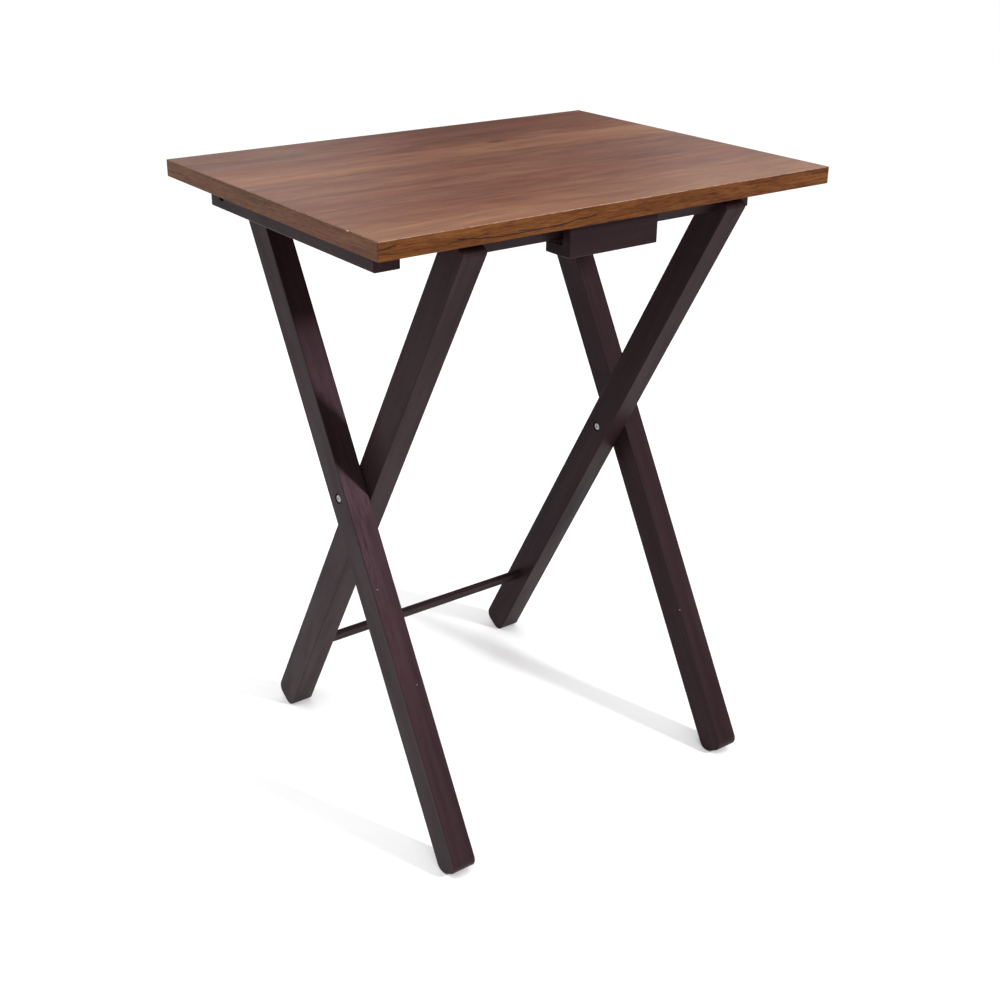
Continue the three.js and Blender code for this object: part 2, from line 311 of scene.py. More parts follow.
class Paint(Nodes):
    """A node material around one Principled shader."""

    def __init__(self, name):
        self.material = bpy.data.materials.new(name)
        self.material.use_nodes = True
        super().__init__(self.material.node_tree)
        self.shader = self.tree.nodes["Principled BSDF"]
        self.place = self.node("ShaderNodeTexCoord").outputs["Object"]

    def bump(self, height, strength, distance):
        made = self.node("ShaderNodeBump", {"Height": height, "Strength": strength, "Distance": distance})
        self.feed(self.shader.inputs["Normal"], made.outputs[0])

    def set(self, **values):
        for name, value in values.items():
            self.feed(self.shader.inputs[name.replace("_", " ")], value)
        return self.material


def grey(value):
    return (value, value, value)


# Darker patches of the board's print: their middle, their reach along and across the grain, their depth.
SHADES = [((0.070, 0.150), (0.110, 0.060), 0.10), ((0.140, -0.045), (0.080, 0.014), 0.09),
          ((-0.020, 0.100), (0.080, 0.010), 0.10), ((-0.110, -0.105), (0.090, 0.012), 0.06)]

KNOT = (0.0275, 0.088, 0.0)  # its X is already shortened by KNOT_STRETCH
KNOT_STRETCH = (0.45, 1.0, 1.0)
CHIP_STRETCH = (1.0, 0.55, 1.0)
CHIP = (-0.2538, -0.143 * CHIP_STRETCH[1], 0.6349)
FRONT_FACE = (-0.1866, -0.1872)  # the front strip's outer face lies beyond this range of Y
RIM = (0.6345, 0.6348)  # the trimmed rim round the board's top lies above this range of Z


def walnut_board():
    """A walnut print on melamine, its grain along X, with broad lighter and darker bands."""
    p = Paint("walnut_laminate")
    x, y, z = p.axes(p.place)
    drift = p.noise(p.stretch(p.place, (3.0, 9.0, 9.0)), detail=3, seed=1.7)
    wavy_y = p.math("ADD", y, p.swing(drift, 0.045))
    along = p.join(x, wavy_y, z)

    bands = p.ramp(p.math("MULTIPLY_ADD", wavy_y, 2.6667, 0.5), [
        (0.03, grey(0.66)), (0.10, grey(0.62)), (0.17, grey(0.52)), (0.24, grey(0.46)),
        (0.34, grey(0.47)), (0.45, grey(0.52)), (0.55, grey(0.49)), (0.60, grey(0.46)),
        (0.625, grey(0.58)), (0.70, grey(0.62)), (0.78, grey(0.44)), (0.98, grey(0.38)),
    ])
    ends = p.band(p.math("ABSOLUTE", x), 0.08, 0.24)
    stripe = p.math("MULTIPLY", p.band(wavy_y, 0.020, 0.040), p.band(wavy_y, 0.065, 0.095, 1.0, 0.0))
    bands = p.math("ADD", bands, p.math("MULTIPLY", p.math("MULTIPLY", ends, stripe), 0.14))
    for (cx, cy), (long, wide), depth in SHADES:
        from_middle = p.join(p.math("SUBTRACT", x, cx), p.math("SUBTRACT", wavy_y, cy), 0.0)
        reach = p.vector("LENGTH", p.stretch(from_middle, (1 / long, 1 / wide, 1.0)))
        bands = p.math("ADD", bands, p.band(reach, 0.3, 1.0, -depth, 0.0))
    cloud = p.noise(p.stretch(along, (4.0, 16.0, 16.0)), detail=3, seed=3.1)
    figure = p.noise(p.stretch(along, (7.0, 75.0, 75.0)), detail=5, distortion=0.6, seed=5.9)
    fibre = p.noise(p.stretch(along, (26.0, 300.0, 300.0)), detail=5, roughness=0.65, seed=8.3)
    pores = p.noise(p.stretch(along, (60.0, 1500.0, 1500.0)), detail=2, seed=2.2)

    tone = p.swing(cloud, 0.35)
    tone = p.math("ADD", tone, p.swing(figure, 0.62))
    tone = p.math("ADD", tone, p.swing(fibre, 0.62))
    tone = p.math("ADD", tone, bands)
    colour = p.ramp(tone, [
        (0.12, (0.058, 0.024, 0.018)), (0.34, (0.104, 0.043, 0.030)), (0.50, (0.153, 0.066, 0.043)),
        (0.66, (0.208, 0.098, 0.058)), (0.88, (0.272, 0.137, 0.077)),
    ])
    red = p.band(p.noise(p.stretch(along, (5.0, 30.0, 30.0)), detail=2, seed=9.4), 0.42, 0.66)
    colour = p.mix(p.math("MULTIPLY", red, 0.30), colour, (0.190, 0.060, 0.036))
    pore = p.band(pores, 0.60, 0.72)
    colour = p.mix(p.math("MULTIPLY", pore, 0.55), colour, (0.050, 0.020, 0.014))

    knot = p.vector("DISTANCE", p.stretch(p.join(x, wavy_y, 0.0), KNOT_STRETCH), KNOT)
    knot = p.math("ADD", knot, p.swing(fibre, 0.006))
    colour = p.mix(p.band(knot, 0.001, 0.0075, 0.55, 0.0), colour, (0.040, 0.016, 0.012))

    smear = p.noise(p.stretch(p.place, (14.0, 20.0, 20.0)), detail=3, seed=4.5)
    rough = p.math("ADD", p.band(smear, 0.3, 0.7, 0.27, 0.35), p.math("MULTIPLY", pore, 0.10))
    p.bump(p.math("ADD", fibre, p.math("MULTIPLY", pore, -0.8)), 0.16, 0.0002)
    return p.set(Base_Color=colour, Roughness=rough, IOR=1.5, Specular_IOR_Level=0.14)


CRACK_TAPER = 0.002


def walnut_strip(name, turn_grain, cracks=()):
    """The edge strip's print: more golden, with dashes along it, and printed cracks on one side. The side
    strips' paler, greyer ramp is painted sheen.
    """
    p = Paint(name)
    x, y, z = p.axes(p.place)
    length, across = (y, x) if turn_grain else (x, y)
    place = p.join(length, across, z)
    wobble = p.noise(p.stretch(place, (14.0, 1.0, 40.0)), detail=2, seed=2.9)
    wavy_z = p.math("ADD", z, p.swing(wobble, 0.006))
    along = p.join(length, across, wavy_z)
    cloud = p.noise(p.stretch(along, (9.0, 9.0, 90.0)), detail=3, seed=6.1)
    figure = p.noise(p.stretch(along, (24.0, 24.0, 520.0)), detail=5, seed=1.3)
    dashes = p.noise(p.stretch(along, (75.0, 75.0, 1000.0)), detail=4, seed=7.7)
    tone = p.math("ADD", p.math("MULTIPLY", cloud, 0.55), p.math("MULTIPLY", figure, 0.45))
    tone = p.math("ADD", tone, p.swing(dashes, 0.80))
    # Painted sheen: the side strips' ramp is paler and greyer than the front and rear strips', standing in
    # for the reflection of the light from the left.
    if turn_grain:
        stops = [(0.30, (0.055, 0.025, 0.014)), (0.48, (0.102, 0.045, 0.026)), (0.64, (0.145, 0.068, 0.038))]
    else:
        stops = [(0.30, (0.036, 0.011, 0.003)), (0.44, (0.072, 0.022, 0.005)), (0.56, (0.104, 0.036, 0.009)),
                 (0.72, (0.156, 0.062, 0.018))]
    colour = p.ramp(tone, stops)
    dark = p.band(dashes, 0.57, 0.66)
    colour = p.mix(p.math("MULTIPLY", dark, 0.65), colour, (0.028, 0.010, 0.004))
    # The pale line along each strip's top rim is partly the joint line and partly a painted highlight on the
    # arris; the noise named worn only breaks it up along the edge.
    worn = p.noise(p.stretch(place, (170.0, 1.0, 1.0)), detail=3, seed=5.5)
    pale = 0.28 if turn_grain else 0.55
    rim = p.math("MULTIPLY", p.band(z, *RIM), p.band(worn, 0.35, 0.62, 0.4 * pale, pale))
    colour = p.mix(rim, colour, (0.50, 0.35, 0.26))
    chip = p.vector("DISTANCE", p.stretch(p.place, CHIP_STRETCH), CHIP)
    colour = p.mix(p.band(chip, 0.0005, 0.0009, 0.7, 0.0), colour, (0.62, 0.52, 0.42))

    fray = p.swing(p.noise(p.stretch(place, (110.0, 1.0, 1.0)), detail=4, seed=3.3), 0.0015)
    mask = None
    for points, width in cracks:
        for (x0, z0), (x1, z1) in zip(points, points[1:]):
            slope = (z1 - z0) / (x1 - x0)
            line = p.math("MULTIPLY_ADD", p.math("SUBTRACT", x, x0), slope, z0)
            away = p.math("ABSOLUTE", p.math("SUBTRACT", p.math("ADD", z, fray), line))
            starts = p.band(x, x0 - CRACK_TAPER, x0)
            ends = p.band(x, x1, x1 + CRACK_TAPER, 1.0, 0.0)
            inside = p.math("MULTIPLY", starts, ends)
            one = p.math("MULTIPLY", p.band(away, width * 0.5, width, 1.0, 0.0), inside)
            mask = one if mask is None else p.math("MAXIMUM", mask, one)
    height = figure
    if mask is not None:
        mask = p.math("MULTIPLY", mask, p.band(y, *FRONT_FACE))
        colour = p.mix(p.math("MULTIPLY", mask, 0.9), colour, (0.012, 0.005, 0.003))
        height = p.math("SUBTRACT", figure, mask)
    p.bump(height, 0.2, 0.0003)
    rough = p.band(cloud, 0.3, 0.7, 0.40, 0.52)
    return p.set(Base_Color=colour, Roughness=rough, IOR=1.48, Specular_IOR_Level=0.06)


LACQUER_TINT = (1.0, 0.58, 0.76, 1.0)


def stained_wood(name, lean, along_axis="Z", specks=(), seed=0.0, shade=1.0, sheen=0.085, painted_top_shade=0.0):
    """Hardwood under an espresso stain and a satin lacquer, with its grain along one axis. Its reflection is
    turned down towards the upper end by the given fraction: painted shade from the board above."""
    p = Paint(name)
    place = p.turn(p.place, lean) if lean else p.place
    along = {"X": (1.0, 0.0, 0.0), "Y": (0.0, 1.0, 0.0), "Z": (0.0, 0.0, 1.0)}[along_axis]

    def scale(length, width):
        return tuple(length if axis else width for axis in along)

    drift = p.noise(p.stretch(place, scale(3.0, 30.0)), detail=2, seed=seed + 1.1)
    nudge = p.swing(drift, 0.012)
    place = p.vector("ADD", place, p.join(nudge, nudge, nudge))
    tone = p.noise(p.stretch(place, scale(3.5, 40.0)), detail=3, seed=seed + 2.3)
    figure = p.noise(p.stretch(place, scale(9.0, 210.0)), detail=5, roughness=0.6, seed=seed + 4.7)
    pores = p.noise(p.stretch(place, scale(48.0, 1500.0)), detail=3, seed=seed + 6.1)

    mixed = p.math("ADD", p.math("MULTIPLY", tone, 0.5), p.math("MULTIPLY", figure, 0.5))
    stops = [(0.32, (0.0125, 0.0068, 0.0078)), (0.48, (0.0200, 0.0110, 0.0124)),
             (0.60, (0.0258, 0.0142, 0.0158)), (0.74, (0.0350, 0.0195, 0.0210))]
    colour = p.ramp(mixed, [(at, tuple(shade * value for value in tone)) for at, tone in stops])
    pore = p.band(pores, 0.56, 0.70)
    colour = p.mix(p.math("MULTIPLY", pore, 0.5), colour, (0.009, 0.006, 0.006))
    warm = p.band(p.noise(p.stretch(place, scale(6.0, 60.0)), detail=2, seed=seed + 8.8), 0.5, 0.72)
    colour = p.mix(p.math("MULTIPLY", warm, 0.35), colour, (0.034 * shade, 0.015 * shade, 0.014 * shade))
    for spot, size in specks:
        near = p.vector("DISTANCE", p.place, spot)
        colour = p.mix(p.band(near, size * 0.5, size, 0.5, 0.0), colour, (0.36, 0.30, 0.29))
    smear = p.noise(p.stretch(place, scale(12.0, 60.0)), detail=3, seed=seed + 5.0)
    rough = p.math("ADD", p.band(smear, 0.3, 0.7, 0.34, 0.47), p.math("MULTIPLY", pore, 0.1))
    p.bump(p.math("ADD", p.math("MULTIPLY", figure, 0.6), p.math("MULTIPLY", pore, -0.7)), 0.28, 0.0003)
    # Painted shade: the reflection weakens towards the top of the leg, where the board shades it.
    level = p.band(p.axes(p.place)[2], 0.28, 0.58, sheen, sheen * (1 - painted_top_shade)) if painted_top_shade else sheen
    return p.set(Base_Color=colour, Roughness=rough, IOR=1.5, Specular_IOR_Level=level,
                 Specular_Tint=LACQUER_TINT)


def plated_steel():
    p = Paint("zinc_plate")
    grain = p.noise(p.place, scale=900.0, detail=3, seed=1.0)
    stain = p.noise(p.place, scale=260.0, detail=3, seed=4.0)
    colour = p.ramp(stain, [(0.3, (0.19, 0.19, 0.20)), (0.6, (0.36, 0.36, 0.37))])
    p.bump(grain, 0.15, 0.0001)
    return p.set(Base_Color=colour, Roughness=p.band(grain, 0.35, 0.65, 0.22, 0.38), Metallic=1.0)


def moulded_nylon():
    p = Paint("white_nylon")
    grain = p.noise(p.place, scale=1400.0, detail=3, seed=2.0)
    cloud = p.noise(p.place, scale=120.0, detail=2, seed=5.0)
    colour = p.ramp(cloud, [(0.35, (0.66, 0.64, 0.60)), (0.65, (0.78, 0.77, 0.73))])
    p.bump(grain, 0.2, 0.0001)
    return p.set(Base_Color=colour, Roughness=p.band(grain, 0.3, 0.7, 0.42, 0.56))


def bare_beech():
    p = Paint("beech")
    fleck = p.noise(p.stretch(p.place, (60.0, 700.0, 700.0)), detail=4, seed=3.0)
    colour = p.ramp(fleck, [(0.35, (0.42, 0.25, 0.13)), (0.65, (0.58, 0.39, 0.23))])
    p.bump(fleck, 0.2, 0.0002)
    return p.set(Base_Color=colour, Roughness=p.band(fleck, 0.3, 0.7, 0.6, 0.75))


# The printed cracks: points (X, Z) along each, and its half-width.
LONG_CRACK = [(-0.1788, 0.6265), (-0.1571, 0.6243), (-0.1394, 0.6231), (-0.1199, 0.6229),
              (-0.0876, 0.6236), (-0.0742, 0.6240), (-0.0558, 0.6259), (-0.0370, 0.6269)]
FRONT_CRACKS = [
    (LONG_CRACK, 0.00065),
    ([(-0.254, 0.6286), (-0.2390, 0.6299)], 0.0006),
    ([(0.2300, 0.6309), (0.2540, 0.6302)], 0.0005),
    ([(-0.1880, 0.6245), (-0.1500, 0.6268)], 0.0004),
    ([(-0.1180, 0.6246), (-0.0720, 0.6228)], 0.0005),
]

walnut = walnut_board()
strip_long = walnut_strip("walnut_edge_band_long", False, FRONT_CRACKS)
strip_short = walnut_strip("walnut_edge_band_short", True)

# Pale specks on the outer legs: place and radius.
LEG_SPECKS = [((-0.1837, -0.0598, 0.2582), 0.0008), ((-0.1716, -0.1081, 0.1720), 0.0007),
              ((0.1642, -0.1199, 0.1509), 0.0010)]

# The right-hand trestle is painted darker than the left, with less reflection: painted shade, as less light
# reaches the right-hand legs.
outer_wood = {
    "left": stained_wood("espresso_outer_leg_left", LEAN, specks=LEG_SPECKS, seed=0.0, shade=0.88),
    "right": stained_wood("espresso_outer_leg_right_painted_shade", LEAN, specks=LEG_SPECKS, seed=10.0, shade=0.86,
                          sheen=0.07),
}
inner_wood = {
    "left": stained_wood("espresso_inner_leg_left", -LEAN, seed=20.0, shade=0.9, painted_top_shade=0.4),
    "right": stained_wood("espresso_inner_leg_right_painted_shade", -LEAN, seed=30.0, shade=0.78, sheen=0.06,
                          painted_top_shade=0.5),
}
# The hook rail's wood is painted darker: painted shade under the board's front edge.
rail_wood_painted_shade = stained_wood("espresso_rail_painted_shade", 0.0, along_axis="X", seed=40.0, shade=0.7, sheen=0.04)
foot_wood = stained_wood("espresso_foot_rail", 0.0, along_axis="X", seed=50.0, shade=0.85, sheen=0.04)
catch_wood = stained_wood("espresso_catch", 0.0, along_axis="X", seed=70.0, shade=0.62, sheen=0.06)
cleat_wood = stained_wood("espresso_cleat", 0.0, along_axis="Y", seed=60.0)
steel = plated_steel()
nylon = moulded_nylon()
beech = bare_beech()


# ---- Board ------------------------------------------------------------------------------------

def slab(name, low, high, arris):
    """A board with all its edges softened, standing in the CAD's box."""
    outline = round_off([(low.y, low.z, arris), (high.y, low.z, arris),
                         (high.y, high.z, arris), (low.y, high.z, arris)], steps=3)
    return prism(name, outline, low.x, high.x, arris)


BOARD_ARRIS, STRIP_ARRIS = 0.25 * MM, 0.35 * MM

board = slab("tray_board", BOARD_LOW, BOARD_HIGH, BOARD_ARRIS)
finish_piece(board, "top", walnut, ["top_board"])
for side in ("front", "rear", "left", "right"):
    strip = slab(f"strip_{side}", *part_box(f"edge_band_{side}"), STRIP_ARRIS)
    material = strip_long if side in ("front", "rear") else strip_short
    finish_piece(strip, "top", material, [f"edge_band_{side}"])


# ---- Fasteners --------------------------------------------------------------------------------

def screw_hole(bottom, x, y):
    """The countersink for a screw that is driven up into wood."""
    tool = turned("tool", [(-1 * MM, 0), (-1 * MM, 4.5 * MM), (0.1 * MM, 4.35 * MM), (0.5 * MM, 4.3 * MM),
                           (2.9 * MM, 2.2 * MM), (6 * MM, 2.2 * MM), (6 * MM, 0)])
    tool.data.transform(Matrix.Translation((x, y, bottom)) @ Matrix.Rotation(-math.pi / 2, 4, "Y"))
    return tool


def cross_tools(reach, depth):
    """Cutters for a cross recess in a face at X = 0 that looks along +X."""
    tools = []
    for quarter in (0, 1):
        tool = box("tool", (-depth, -reach, -reach * 0.22), (1 * MM, reach, reach * 0.22))
        for vert in tool.data.vertices:
            if vert.co.x < 0:
                vert.co.y *= 0.35
                vert.co.z *= 0.75
        tool.data.transform(Matrix.Rotation(math.pi / 2 * quarter, 4, "X"))
        tools.append(tool)
    return tools


def head(name, radius, height, tail_radius, tail):
    """A domed cross-recess head with a stub of its shank; its face is at X = 0."""
    profile = [(-tail, 0), (-tail, tail_radius), (-height, tail_radius), (-height, radius * 0.97),
               (-height * 0.85, radius), (-height * 0.45, radius), (-height * 0.25, radius * 0.95),
               (-height * 0.1, radius * 0.82), (-height * 0.02, radius * 0.6), (0, radius * 0.3), (0, 0)]
    return cut(turned(name, profile), cross_tools(radius * 0.56, height * 0.75))


def flat_head(name, radius, tail):
    """A countersunk screw: a flat cross-recess face at X = 0 over a cone."""
    profile = [(-tail, 0), (-tail + 5 * MM, 2 * MM), (-2.6 * MM, 2 * MM), (-0.25 * MM, radius),
               (-0.05 * MM, radius), (0, radius * 0.94), (0, 0)]
    return cut(turned(name, profile), cross_tools(radius * 0.55, 1.6 * MM))


WOOD_SCREW_RADIUS = 4 * MM


def screws_below(count, node_name, piece_name, body):
    for index in range(1, count + 1):
        node = node_name(index)
        low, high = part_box(node)
        screw = flat_head(piece_name(index), WOOD_SCREW_RADIUS, high.z - low.z)
        spot = ((low.x + high.x) / 2, (low.y + high.y) / 2, low.z)
        turn = Matrix.Rotation(0.7 * index, 4, "Z") @ Matrix.Rotation(math.pi / 2, 4, "Y")
        screw.data.transform(Matrix.Translation(spot) @ turn)
        finish_piece(screw, body, steel, [node])


# ---- Cleats and catch -------------------------------------------------------------------------

def centre_of(node):
    low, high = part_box(node)
    return (low + high) / 2


SIDES = (("left", -1), ("right", 1))
CLEAT_ARRIS, CATCH_ARRIS = 1.3 * MM, 1.2 * MM
CATCH_WEB, CATCH_LIP = 10 * MM, 10.5 * MM  # the front wall's thickness and the slot's floor above the bottom
CLEAT_HOLE_RADIUS, CLEAT_RECESS_RADIUS, CLEAT_RECESS_DEPTH = 3.3 * MM, 5.8 * MM, 4.5 * MM

for side, sign in SIDES:
    low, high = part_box(f"cleat_{side}")
    face = high.x if sign > 0 else low.x
    cleat = slab(f"cleat_bar_{side}", low, high, CLEAT_ARRIS)
    mouth = CLEAT_RECESS_RADIUS + 0.6 * MM
    hole = turned("tool", [(-30 * MM, 0), (-30 * MM, CLEAT_HOLE_RADIUS),
                           (-CLEAT_RECESS_DEPTH, CLEAT_HOLE_RADIUS),
                           (-CLEAT_RECESS_DEPTH, CLEAT_RECESS_RADIUS), (-0.5 * MM, CLEAT_RECESS_RADIUS),
                           (0.1 * MM, mouth), (1 * MM, mouth), (1 * MM, 0)])
    if sign < 0:
        bake_matrix(hole, MIRROR)
    shift(hole, face, TOP_PIVOT.y, TOP_PIVOT.z)
    tools = [hole]
    for index in (1, 2, 3):
        spot = centre_of(f"cleat_screw_{index}_{side}")
        tools.append(screw_hole(low.z, spot.x, spot.y))
    cut(cleat, tools)
    finish_piece(cleat, "top", cleat_wood, [f"cleat_{side}"])
    screws_below(3, lambda i: f"cleat_screw_{i}_{side}", lambda i: f"cleat_fixing_{i}_{side}", "top")

low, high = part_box("catch_block")
hook = round_off([
    (low.y, low.z, CATCH_ARRIS), (high.y, low.z, CATCH_ARRIS), (high.y, low.z + CATCH_LIP, CATCH_ARRIS),
    (low.y + CATCH_WEB, low.z + CATCH_LIP, 0), (low.y + CATCH_WEB, high.z, 0), (low.y, high.z, 0),
], steps=4)
catch = prism("catch_hook", hook, low.x, high.x, CATCH_ARRIS)
spots = [centre_of(f"catch_screw_{index}") for index in (1, 2)]
cut(catch, [screw_hole(low.z, spot.x, spot.y) for spot in spots])
finish_piece(catch, "top", catch_wood, ["catch_block"])
screws_below(2, lambda i: f"catch_screw_{i}", lambda i: f"catch_fixing_{i}", "top")


# ---- Legs -------------------------------------------------------------------------------------

LEG_HALF = 15.5 * MM
LEG_ARRIS = 0.6 * MM
FOOT_RADIUS = 10 * MM
HALF_ROUND = LEG_HALF * 0.999
INNER_TOP_RISE, INNER_TOP_FRONT, INNER_TOP_REAR = 13 * MM, 3 * MM, 12 * MM
COUNTERBORE_DEPTH, COUNTERBORE_RADIUS, PIVOT_HOLE_RADIUS = 2.2 * MM, 4.9 * MM, 3.2 * MM
PLUG_SETBACK, PLUG_RISE = 5.6 * MM, 6.2 * MM  # from the leg's inner face, and beyond the upper pivot
PLUG_HOLE_RADIUS, PLUG_HOLE_DEPTH = 3.45 * MM, 0.5 * MM
foot_rise = CROSSING.z - FOOT_RADIUS - (LEG_HALF - FOOT_RADIUS) * math.sin(LEAN)
FOOT = foot_rise / math.cos(LEAN) + FOOT_RADIUS


def leg(name, low_x, high_x, rise, front_radius, rear_radius):
    """A leg with a square-cut, rounded foot; its top ends `rise` beyond the upper pivot."""
    outline = round_off([
        (-LEG_HALF, -FOOT, FOOT_RADIUS), (LEG_HALF, -FOOT, FOOT_RADIUS),
        (LEG_HALF, ARM + rise, rear_radius), (-LEG_HALF, ARM + rise, front_radius),
    ], steps=14)
    return prism(name, outline, low_x, high_x, LEG_ARRIS)


def recess(face):
    """The middle pivot's hole and counterbore in a face that looks along +X, its mouth a little worn."""
    depth, radius, mouth = COUNTERBORE_DEPTH, COUNTERBORE_RADIUS, COUNTERBORE_RADIUS + 0.5 * MM
    tool = turned("tool", [(-60 * MM, 0), (-60 * MM, PIVOT_HOLE_RADIUS), (-depth, PIVOT_HOLE_RADIUS),
                           (-depth, radius), (-0.4 * MM, radius), (0.1 * MM, mouth), (1 * MM, mouth),
                           (1 * MM, 0)])
    return shift(tool, face, 0, 0)


for side, sign in SIDES:
    outer_place = OUTER_FRAME if sign > 0 else MIRROR @ OUTER_FRAME
    inner_place = INNER_FRAME if sign > 0 else MIRROR @ INNER_FRAME

    outer = leg(f"long_leg_outer_{side}", OUTER_LOW.x, OUTER_HIGH.x, LEG_HALF, HALF_ROUND, HALF_ROUND)
    cut(outer, [recess(OUTER_HIGH.x)])
    bake_matrix(outer, outer_place)
    finish_piece(outer, f"outer_leg_{side}", outer_wood[side], [f"outer_leg_{side}"])

    inner = leg(f"long_leg_inner_{side}", INNER_LOW.x, INNER_HIGH.x, INNER_TOP_RISE, INNER_TOP_FRONT,
                INNER_TOP_REAR)
    bore = recess(0)
    bake_matrix(bore, Matrix.Translation((INNER_LOW.x, 0, 0)) @ MIRROR)
    plug_place = Matrix.Translation((INNER_HIGH.x - PLUG_SETBACK, -LEG_HALF, ARM + PLUG_RISE))
    plug_place = plug_place @ Matrix.Rotation(-math.pi / 2, 4, "Z")
    plug = turned("tool", [(-PLUG_HOLE_DEPTH, 0), (-PLUG_HOLE_DEPTH, PLUG_HOLE_RADIUS),
                           (1 * MM, PLUG_HOLE_RADIUS), (1 * MM, 0)])
    bake_matrix(plug, plug_place)
    cut(inner, [bore, plug])
    bake_matrix(inner, inner_place)
    finish_piece(inner, "inner_frame", inner_wood[side], [f"inner_leg_{side}"])

    filler = turned(f"wood_plug_{side}", [(-2 * MM, 0), (-2 * MM, 3.35 * MM), (-0.15 * MM, 3.35 * MM),
                                          (-0.04 * MM, 3.25 * MM), (0, 3.0 * MM), (0, 0)])
    bake_matrix(filler, inner_place @ plug_place)
    finish_piece(filler, "inner_frame", inner_wood[side])


# ---- Rails ------------------------------------------------------------------------------------

def rail(name, node, material, setback, rise, thickness, width, reach, arris):
    """A bar across the inner frame, with its middle `setback` behind and `rise` above the middle pivots."""
    front, rear = setback - thickness / 2, setback + thickness / 2
    low, high = rise - width / 2, rise + width / 2
    outline = round_off([
        (front, low, arris), (rear, low, arris), (rear, high, arris), (front, high, arris),
    ], steps=4)
    bar = prism(name, outline, -reach, reach, arris * 0.5)
    bake_matrix(bar, INNER_FRAME)
    return finish_piece(bar, "inner_frame", material, [node])


rail("hook_rail", "crossbar", rail_wood_painted_shade, setback=3 * MM, rise=ARM + 4.5 * MM, thickness=10 * MM,
     width=15 * MM, reach=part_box("crossbar")[1].x, arris=1.2 * MM)
rail("foot_rail", "stretcher", foot_wood, setback=2 * MM, rise=-276 * MM, thickness=6 * MM,
     width=14 * MM, reach=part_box("stretcher")[1].x, arris=0.9 * MM)


# ---- Pivots -----------------------------------------------------------------------------------

PIVOT_HEAD_RADIUS, PIVOT_HEAD_HEIGHT = 3.9 * MM, 1.6 * MM
PIVOT_SCREW_RADIUS, PIVOT_SLEEVE_RADIUS = 1.9 * MM, 2.9 * MM
SLEEVE_BORE_RADIUS, SLEEVE_BORE_START = 2.2 * MM, 4.6 * MM
END_BOLT_HEAD_RADIUS, END_BOLT_HEAD_HEIGHT, END_BOLT_RADIUS = 5 * MM, 3 * MM, 3 * MM


def reach_of(node):
    """Where a part that lies along X starts and ends, from the table's middle plane."""
    low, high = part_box(node)
    return sorted((abs(low.x), abs(high.x)))


for side, sign in SIDES:
    body = f"outer_leg_{side}"
    flip = Matrix.Identity(4) if sign > 0 else MIRROR
    middle = flip @ OUTER_FRAME
    start, end = reach_of(f"mid_screw_{side}")
    screw = head(f"pivot_screw_{side}", PIVOT_HEAD_RADIUS, PIVOT_HEAD_HEIGHT, PIVOT_SCREW_RADIUS, end - start)
    bake_matrix(screw, middle @ Matrix.Translation((end, 0, 0)) @ Matrix.Rotation(0.4, 4, "X"))
    finish_piece(screw, body, steel, [f"mid_screw_{side}"])

    start, end = reach_of(f"mid_sleeve_{side}")
    length = end - start
    sleeve = head(f"pivot_sleeve_{side}", PIVOT_HEAD_RADIUS, PIVOT_HEAD_HEIGHT, PIVOT_SLEEVE_RADIUS, length)
    bore = turned("tool", [(-length - 1 * MM, 0), (-length - 1 * MM, SLEEVE_BORE_RADIUS),
                           (-SLEEVE_BORE_START, SLEEVE_BORE_RADIUS), (-SLEEVE_BORE_START, 0)])
    cut(sleeve, [bore])
    bake_matrix(sleeve, middle @ Matrix.Translation((start, 0, 0)) @ MIRROR @ Matrix.Rotation(0.25, 4, "X"))
    finish_piece(sleeve, body, steel, [f"mid_sleeve_{side}"])

    start, end = reach_of(f"top_bolt_{side}")
    bolt = head(f"end_bolt_{side}", END_BOLT_HEAD_RADIUS, END_BOLT_HEAD_HEIGHT, END_BOLT_RADIUS, end - start)
    bake_matrix(bolt, middle @ Matrix.Translation((end, 0, ARM)))
    finish_piece(bolt, body, steel, [f"top_bolt_{side}"])

# Parts that stay as the CAD has them, with a material of their own.
KEPT = {"top_insert": steel, "crossbar_screw": steel, "mid_washer": nylon, "top_washer": nylon,
        "crossbar_dowel": beech}
for name, material in KEPT.items():
    for side, _ in SIDES:
        mesh = frame["nodes"][f"{name}_{side}"].data
        mesh.materials.clear()
        mesh.materials.append(material)


# ---- Camera, light and floor ------------------------------------------------------------------

CAMERA_PLACE = (-0.824765, -1.102417, 0.914936)
CAMERA_ANGLES = (-37.028, 23.986, 0.753)  # azimuth, elevation and roll, in degrees
SENSOR = 36
LENS = 1.44022 * SENSOR
FLOOR_HALF = 14.0
ALONG_VIEW, ACROSS_VIEW = (0.604, 0.797, 0.0), (0.797, -0.604, 0.0)


def add_camera():
    """Looks down at 24 degrees from the front left."""
    azimuth, elevation, roll = (math.radians(angle) for angle in CAMERA_ANGLES)
    back = Vector((math.sin(azimuth) * math.cos(elevation), -math.cos(azimuth) * math.cos(elevation),
                   math.sin(elevation)))
    right = Vector((0, 0, 1)).cross(back).normalized()
    turn = Matrix((right, back.cross(right), back)).transposed()
    turn = Matrix.Rotation(roll, 3, back) @ turn
    data = bpy.data.cameras.new("camera")
    data.sensor_width = SENSOR
    data.lens = LENS
    data.shift_y = -0.018
    data.clip_start, data.clip_end = 0.01, 100
    camera = bpy.data.objects.new("camera", data)
    camera.matrix_world = Matrix.Translation(CAMERA_PLACE) @ turn.to_4x4()
    bpy.context.scene.collection.objects.link(camera)
    bpy.context.scene.camera = camera


def add_light(name, place, target, size, power):
    data = bpy.data.lights.new(name, "AREA")
    data.shape = "RECTANGLE"
    data.size, data.size_y = size
    data.energy = power
    light = bpy.data.objects.new(name, data)
    light.location = place
    light.rotation_mode = "QUATERNION"
    light.rotation_quaternion = (Vector(target) - Vector(place)).to_track_quat("-Z", "Y")
    light.visible_camera = False
    bpy.context.scene.collection.objects.link(light)


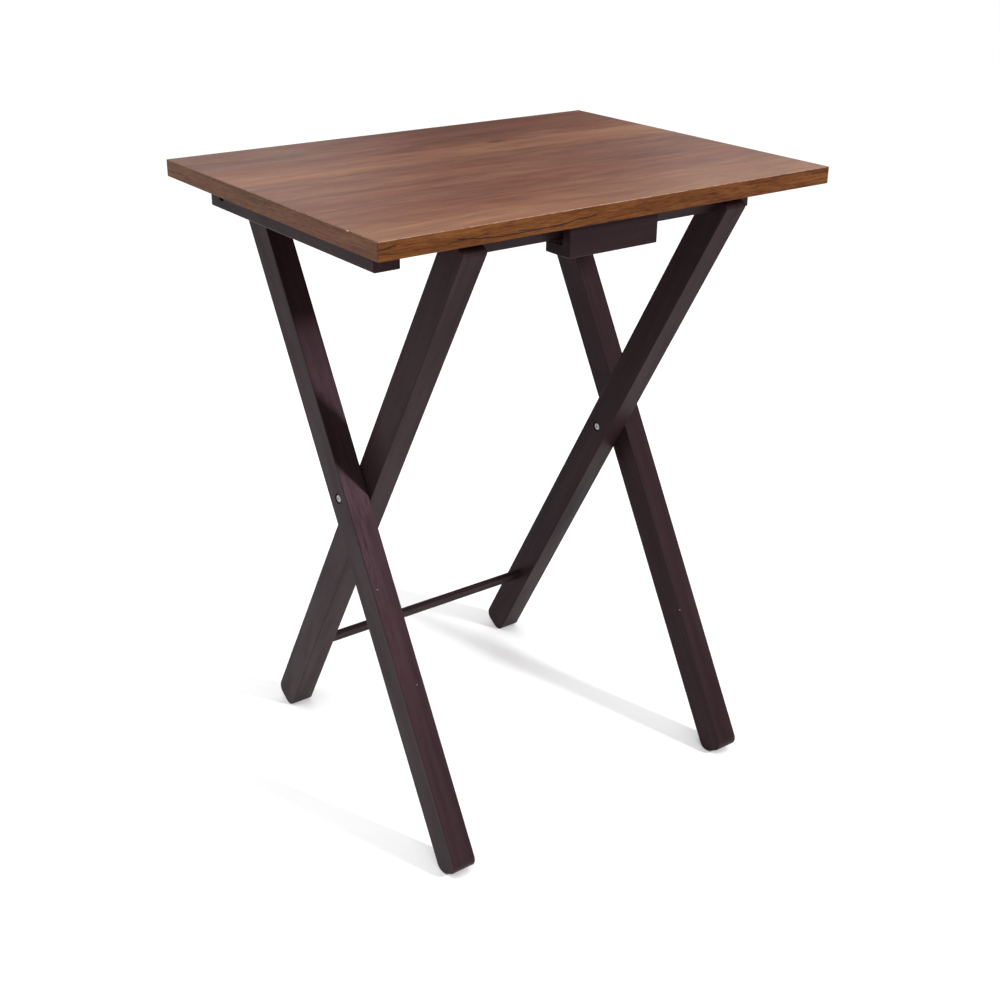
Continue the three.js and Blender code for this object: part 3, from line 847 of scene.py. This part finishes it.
def add_studio():
    """A white studio: bright overhead and on the left, dimmer towards the horizon, with a gap between
    two pale walls behind the table. The camera itself sees plain white."""
    world = bpy.data.worlds.new("studio")
    world.use_nodes = True
    n = Nodes(world.node_tree)
    direction = n.node("ShaderNodeTexCoord").outputs["Generated"]
    x, y, z = n.axes(direction)
    sky = n.band(z, -0.1, 0.9, 0.10, 1.28)
    left = n.band(x, 0.2, -0.9, 0.0, 0.12)
    away = n.math("ABSOLUTE", n.vector("DOT_PRODUCT", direction, ACROSS_VIEW))
    behind = n.band(n.vector("DOT_PRODUCT", direction, ALONG_VIEW), 0.1, 0.4)
    low = n.math("MULTIPLY", behind, n.band(z, 0.30, 0.55, 1.0, 0.0))
    walls = n.math("MULTIPLY", low, n.band(away, 0.04, 0.13, 0.0, 0.16))
    gap = n.math("MULTIPLY", low, n.band(away, 0.04, 0.14, 0.95, 0.0))
    total = n.math("ADD", n.math("ADD", sky, left), walls)
    total = n.math("MULTIPLY", total, n.math("SUBTRACT", 1.0, gap))
    seen = n.node("ShaderNodeLightPath").outputs["Is Camera Ray"]
    mixed = n.node("ShaderNodeMix", {"Factor": seen, "A": total, "B": 1.0}, data_type="FLOAT")
    backdrop = world.node_tree.nodes["Background"]
    backdrop.inputs["Color"].default_value = (1.0, 1.0, 1.0, 1.0)
    n.feed(backdrop.inputs["Strength"], mixed.outputs[0])
    bpy.context.scene.world = world
    bpy.context.scene.view_settings.view_transform = "Standard"


def add_floor():
    half = FLOOR_HALF
    verts = [(-half, -half, 0), (half, -half, 0), (half, half, 0), (-half, half, 0)]
    floor = new_object("floor", mesh_from("floor", verts, [(0, 1, 2, 3)]))
    p = Paint("pale_floor")
    cloud = p.noise(p.place, scale=6.0, detail=3, seed=1.0)
    floor.data.materials.append(p.set(
        Base_Color=p.ramp(cloud, [(0.3, grey(0.93)), (0.7, grey(0.96))]), Roughness=0.75))


add_camera()
add_floor()
add_studio()
add_light("key", (-1.3, -0.9, 2.8), (0, 0, 0.3), (2.2, 2.2), 24)
add_light("front", (0.89, -2.32, 1.69), (-0.18, 0, 0.33), (0.22, 0.22), 60)
